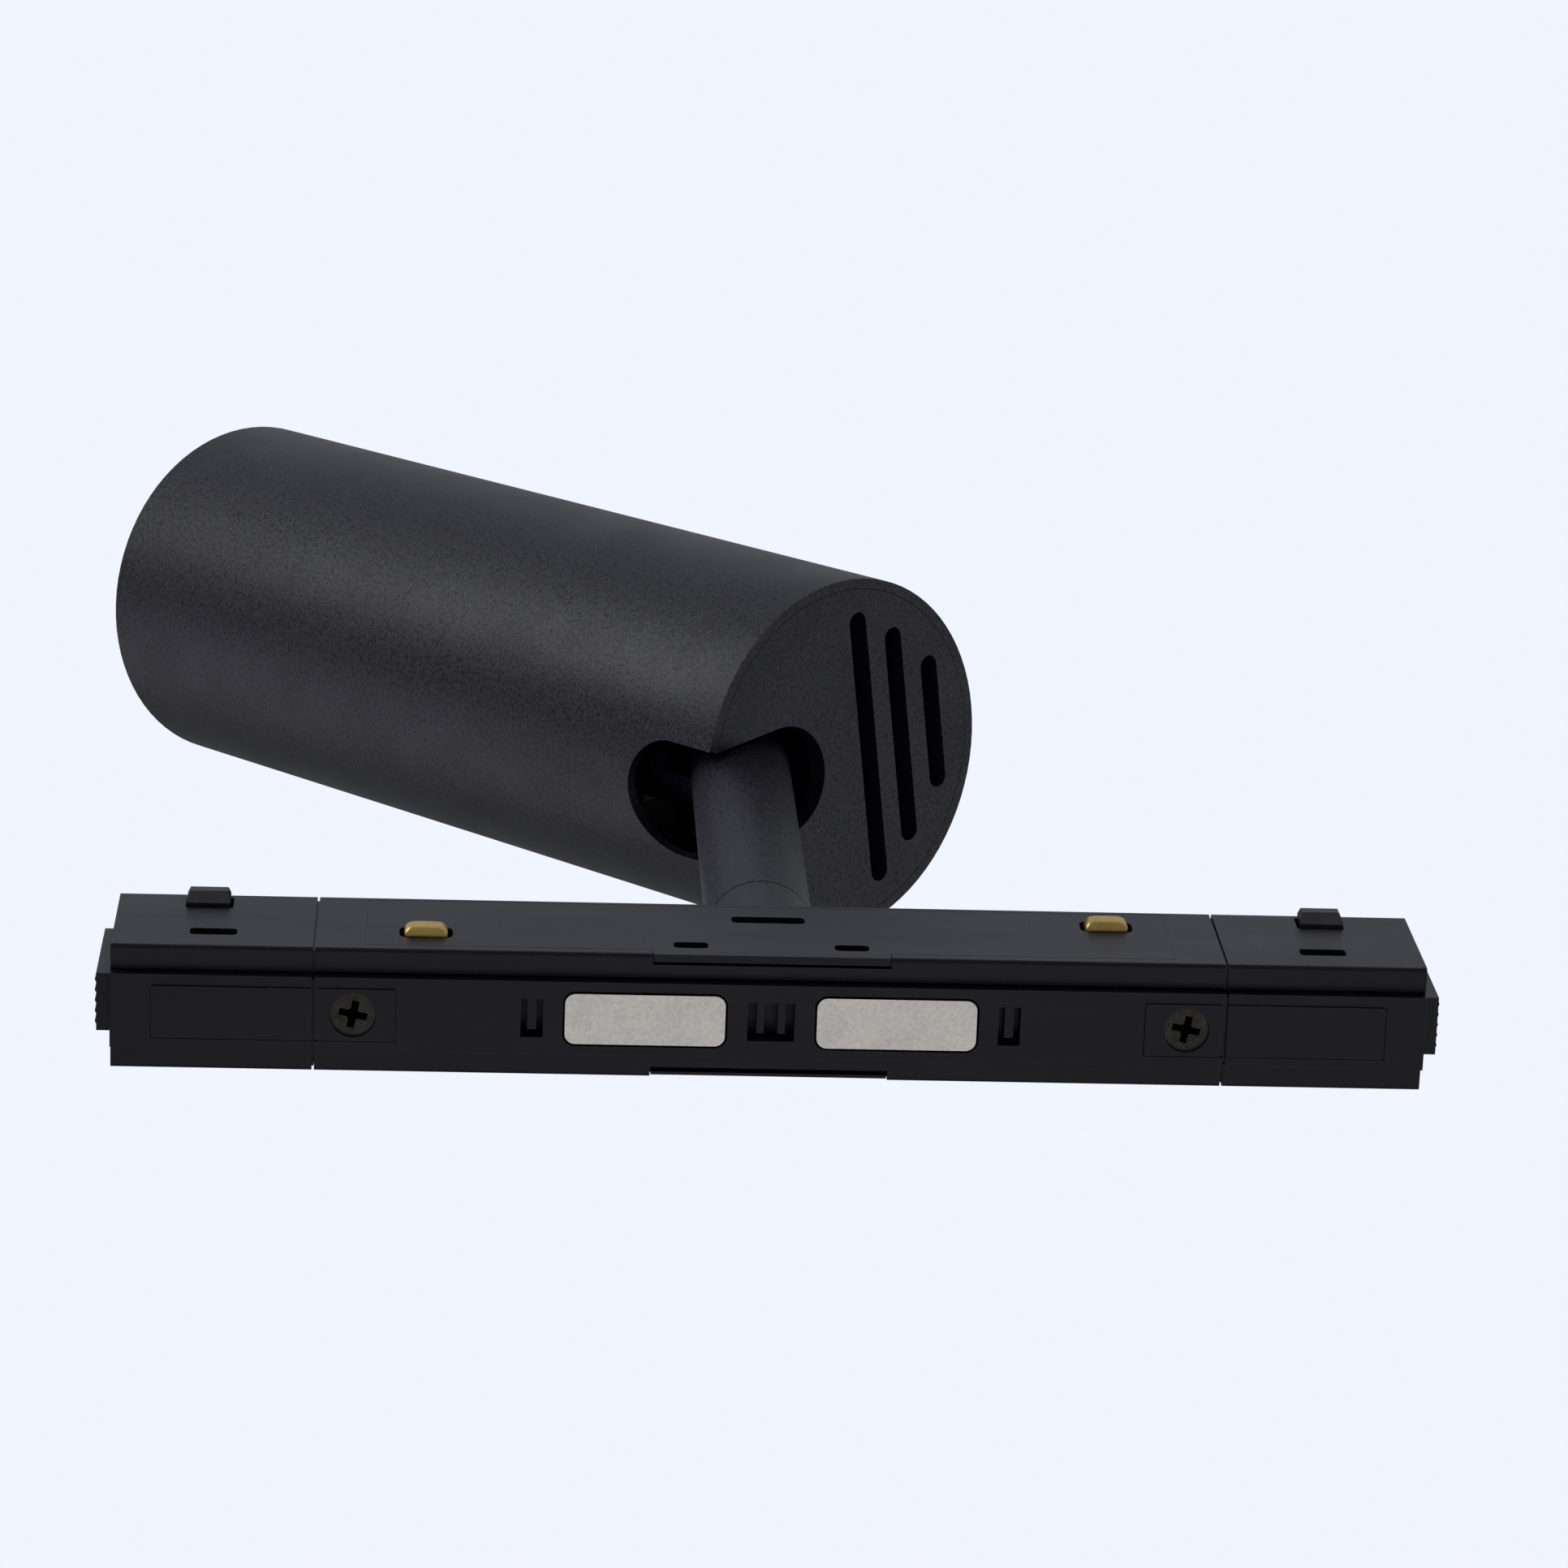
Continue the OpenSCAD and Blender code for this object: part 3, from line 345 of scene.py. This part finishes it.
def as_piece(name, build):
    """A smooth-shaded object from a finished mesh."""
    bmesh.ops.recalc_face_normals(build, faces=build.faces)
    for face in build.faces:
        face.smooth = True
    mesh = bpy.data.meshes.new(name)
    build.to_mesh(mesh)
    build.free()
    piece = bpy.data.objects.new(name, mesh)
    bpy.context.scene.collection.objects.link(piece)
    return piece


def bridge(build, near, far):
    """Quads between two rings of vertices."""
    for i in range(len(near)):
        j = (i + 1) % len(near)
        build.faces.new((near[i], near[j], far[j], far[i]))


def lofted(name, rings):
    """A closed skin through rings of points, capped with a fan at each end."""
    build = bmesh.new()
    loops = [[build.verts.new(point) for point in ring] for ring in rings]
    for near, far in zip(loops, loops[1:]):
        bridge(build, near, far)
    for loop in (loops[0], loops[-1]):
        centre = build.verts.new(sum((v.co for v in loop), Vector()) / len(loop))
        for i in range(len(loop)):
            build.faces.new((loop[i], loop[(i + 1) % len(loop)], centre))
    return as_piece(name, build)


def squircle(half_x, half_z, power, centre):
    """A rounded rectangle in the XZ plane, squarer as power rises."""
    count = 48
    points = []
    for i in range(count):
        angle = 2 * math.pi * i / count
        c, s = math.cos(angle), math.sin(angle)
        x = math.copysign(abs(c) ** (2 / power), c) * half_x
        z = math.copysign(abs(s) ** (2 / power), s) * half_z
        points.append(centre + Vector((x, 0, z)))
    return points


def contact_pad(node):
    """A pressed brass contact: a flange behind the cover and a nose crowned on every side."""
    low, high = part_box(node)
    middle = middle_of(node)
    flange_t, nose_half, nose_h, crown = 1.9 * MM, 2.7 * MM, 1.82 * MM, 1.15 * MM
    flange_half = (high[0] - low[0]) / 2
    flange_h = min(1.8 * MM, (high[2] - low[2]) / 2)

    def ring(y, half_x, half_z, power):
        return squircle(half_x, half_z, power, Vector((middle.x, y, middle.z)))

    soft = 0.15 * MM
    flange_power, nose_power, tip_power = 8, 6, 3.5
    flange_end = low[1] + flange_t
    rings = [ring(low[1], flange_half - soft, flange_h - soft, flange_power),
             ring(low[1] + soft, flange_half, flange_h, flange_power),
             ring(flange_end - soft, flange_half, flange_h, flange_power),
             ring(flange_end, flange_half - soft, flange_h - soft, flange_power),
             ring(flange_end, nose_half, nose_h, nose_power)]
    steps = 9
    for i in range(steps + 1):
        angle = math.pi / 2 * i / steps
        inward = crown * (1 - math.cos(angle))
        y = high[1] - crown + crown * math.sin(angle)
        power = nose_power + (tip_power - nose_power) * i / steps
        rings.append(ring(y, nose_half - inward, nose_h - inward, power))
    stands_for(lofted(node + "_pad", rings), node)


def spring_coil(node, wire_r, turns):
    """A round-wire coil spring along Y with closed ends."""
    low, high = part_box(node)
    middle = middle_of(node)
    radius = (high[0] - low[0]) / 2 - wire_r
    start, end = low[1] + wire_r, high[1] - wire_r
    per_turn, sides, closed = 18, 8, 1
    open_pitch = (end - start - 2 * closed * 2 * wire_r) / turns
    count = int((turns + 2 * closed) * per_turn)
    rings = []
    y = start
    for i in range(count + 1):
        turn = i / per_turn
        angle = 2 * math.pi * turn
        outward = Vector((math.cos(angle), 0, math.sin(angle)))
        centre = Vector((middle.x, y, middle.z)) + outward * radius
        ring = []
        for k in range(sides):
            around = 2 * math.pi * k / sides
            ring.append(centre + (outward * math.cos(around) + Vector((0, math.sin(around), 0))) * wire_r)
        rings.append(ring)
        in_end = turn < closed or turn >= turns + closed
        y += (2 * wire_r if in_end else open_pitch) / per_turn
    piece = lofted(node + "_coil", rings)
    stands_for(piece, node)
    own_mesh(piece)


def faceted_reflector():
    """The reflector as rows of shallow dimples around the light's axis."""
    small_r, large_r, tube_r = 8 * MM, 21.4 * MM, 24.1 * MM
    wall, length, holder_t = 0.9 * MM, 24 * MM, 5 * MM
    axis = (middle_of("front_glass") - middle_of("led_emitter")).normalized()
    rear = middle_of("led_holder") + axis * holder_t / 2
    side = axis.cross(Vector((0, 1, 0))).normalized()
    other = axis.cross(side)
    rows, columns, fine, dimple = 7, 30, 4, 0.28 * MM
    around, along = columns * fine, rows * fine

    def at(radius, depth, angle):
        return rear + axis * depth + (side * math.cos(angle) + other * math.sin(angle)) * radius

    def ring(radius, depth):
        return [at(radius, depth, 2 * math.pi * i / around) for i in range(around)]

    def profile(share):
        bowl = 0.62
        return small_r + (large_r - small_r) * share ** bowl

    rings = []
    for j in range(along + 1):
        share = j / along
        across_row = 1 - (2 * (share * rows % 1) - 1) ** 2
        points = []
        for i in range(around):
            across_column = 1 - (2 * (i / fine % 1) - 1) ** 2
            radius = profile(share) + dimple * across_row * across_column
            points.append(at(radius, share * length, 2 * math.pi * i / around))
        rings.append(points)
    rim = 1 * MM
    rings += [ring(tube_r, length), ring(tube_r, length - rim)]
    rings += [ring(profile(share) + wall, share * length) for share in (0.92, 0.7, 0.5, 0.3, 0.15, 0.05, 0.0)]
    build = bmesh.new()
    loops = [[build.verts.new(point) for point in points] for points in rings]
    for near, far in zip(loops, loops[1:] + loops[:1]):
        bridge(build, near, far)
    stands_for(as_piece("reflector_facets", build), "reflector")


for end in ("left", "right"):
    contact_pad("contact_" + end)
    spring_coil("contact_spring_" + end, 0.2 * MM, 4)
    spring_coil("latch_spring_" + end, 0.22 * MM, 6)
faceted_reflector()


# ---------- camera ----------

LENS_MM = 135.5
CAMERA_AT = Vector((-37, 244, 683)) * MM
AIM_AT = Vector((3.8, 12, -60)) * MM
CAMERA_ROLL = math.radians(-8.34)
SENSOR_MM = 36.0

camera_data = bpy.data.cameras.new("camera")
camera_data.sensor_width = SENSOR_MM
camera_data.lens = LENS_MM
camera_data.clip_start, camera_data.clip_end = 0.01, 50.0
camera = bpy.data.objects.new("camera", camera_data)
bpy.context.scene.collection.objects.link(camera)
back = (CAMERA_AT - AIM_AT).normalized()
right = back.cross(Vector((0, 0, 1))).normalized()
up = back.cross(right)
level = Matrix((right, up, back)).transposed().to_4x4()
camera.matrix_world = Matrix.Translation(CAMERA_AT) @ level @ Matrix.Rotation(CAMERA_ROLL, 4, "Z")
bpy.context.scene.camera = camera


# ---------- studio ----------

def softbox(name, azimuth, elevation, size, power, colour=(1, 1, 1), distance=1.2):
    """An area light aimed at the object; azimuth 0 is towards +Y and 90 towards +X."""
    middle = Vector((0, 0, -80)) * MM
    az, el = math.radians(azimuth), math.radians(elevation)
    towards = Vector((math.cos(el) * math.sin(az), math.cos(el) * math.cos(az), math.sin(el)))
    data = bpy.data.lights.new(name, "AREA")
    data.shape = "RECTANGLE"
    data.size, data.size_y = size
    data.energy = power
    data.color = colour
    light = bpy.data.objects.new(name, data)
    light.location = middle + towards * distance
    light.rotation_mode = "QUATERNION"
    light.rotation_quaternion = (-towards).to_track_quat("-Z", "Y")
    light.visible_camera = False
    bpy.context.scene.collection.objects.link(light)


FLOOR_Z = -3.0
FLOOR_HALF = 10.7
FLOOR_GLOW, FLOOR_GLOW_Y = 0.47, 0.7
FLOOR_SHADE, FLOOR_SHADE_Y = 0.2, -1.8
FLOOR_TINT = (0.88, 0.91, 1.0, 1.0)


def studio_floor():
    """A wide pale floor, far enough below the hanging light to look up at it; it glows less towards -Y."""
    mesh = bpy.data.meshes.new("floor")
    corners = [(x * FLOOR_HALF, y * FLOOR_HALF, FLOOR_Z) for x, y in ((-1, -1), (1, -1), (1, 1), (-1, 1))]
    mesh.from_pydata(corners, [], [(0, 1, 2, 3)])
    floor = bpy.data.objects.new("floor", mesh)
    bpy.context.scene.collection.objects.link(floor)
    net = Net("floor")
    glow = net.add("ShaderNodeEmission")
    glow.inputs["Color"].default_value = FLOOR_TINT
    lit = net.spread(net.along("Y"), FLOOR_SHADE, FLOOR_GLOW, FLOOR_SHADE_Y, FLOOR_GLOW_Y)
    seen = net.add("ShaderNodeLightPath").outputs["Is Camera Ray"]
    net.link(net.math("MAXIMUM", seen, lit), glow.inputs["Strength"])
    net.link(glow.outputs["Emission"], net.surface.inputs["Surface"])
    mesh.materials.append(net.material)


def studio_world(strength):
    """White to the camera, and a faint cool fill to the object."""
    world = bpy.data.worlds.new("studio")
    world.use_nodes = True
    tree = world.node_tree
    background = tree.nodes["Background"]
    background.inputs["Color"].default_value = (0.93, 0.96, 1, 1)
    background.inputs["Strength"].default_value = strength
    seen = tree.nodes.new("ShaderNodeLightPath").outputs["Is Camera Ray"]
    white = tree.nodes.new("ShaderNodeBackground")
    white.inputs["Strength"].default_value = 1.0
    both = tree.nodes.new("ShaderNodeMixShader")
    tree.links.new(seen, both.inputs["Fac"])
    tree.links.new(background.outputs[0], both.inputs[1])
    tree.links.new(white.outputs[0], both.inputs[2])
    tree.links.new(both.outputs[0], tree.nodes["World Output"].inputs["Surface"])
    bpy.context.scene.world = world


studio_floor()
studio_world(0.2)
softbox("key", azimuth=-54, elevation=-11, size=(0.36, 0.2), power=0.72, colour=(0.95, 0.96, 1.0),
        distance=0.6)
softbox("side", azimuth=-118, elevation=-14, size=(0.8, 0.5), power=1.0, colour=(0.88, 0.87, 1.0))
softbox("cap", azimuth=104, elevation=8, size=(0.8, 0.6), power=0.9, colour=(0.90, 0.91, 1.0))
softbox("top", azimuth=171, elevation=70, size=(0.7, 0.7), power=0.6)

scene = bpy.context.scene
scene.view_settings.view_transform = "Standard"
scene.view_settings.look = "None"
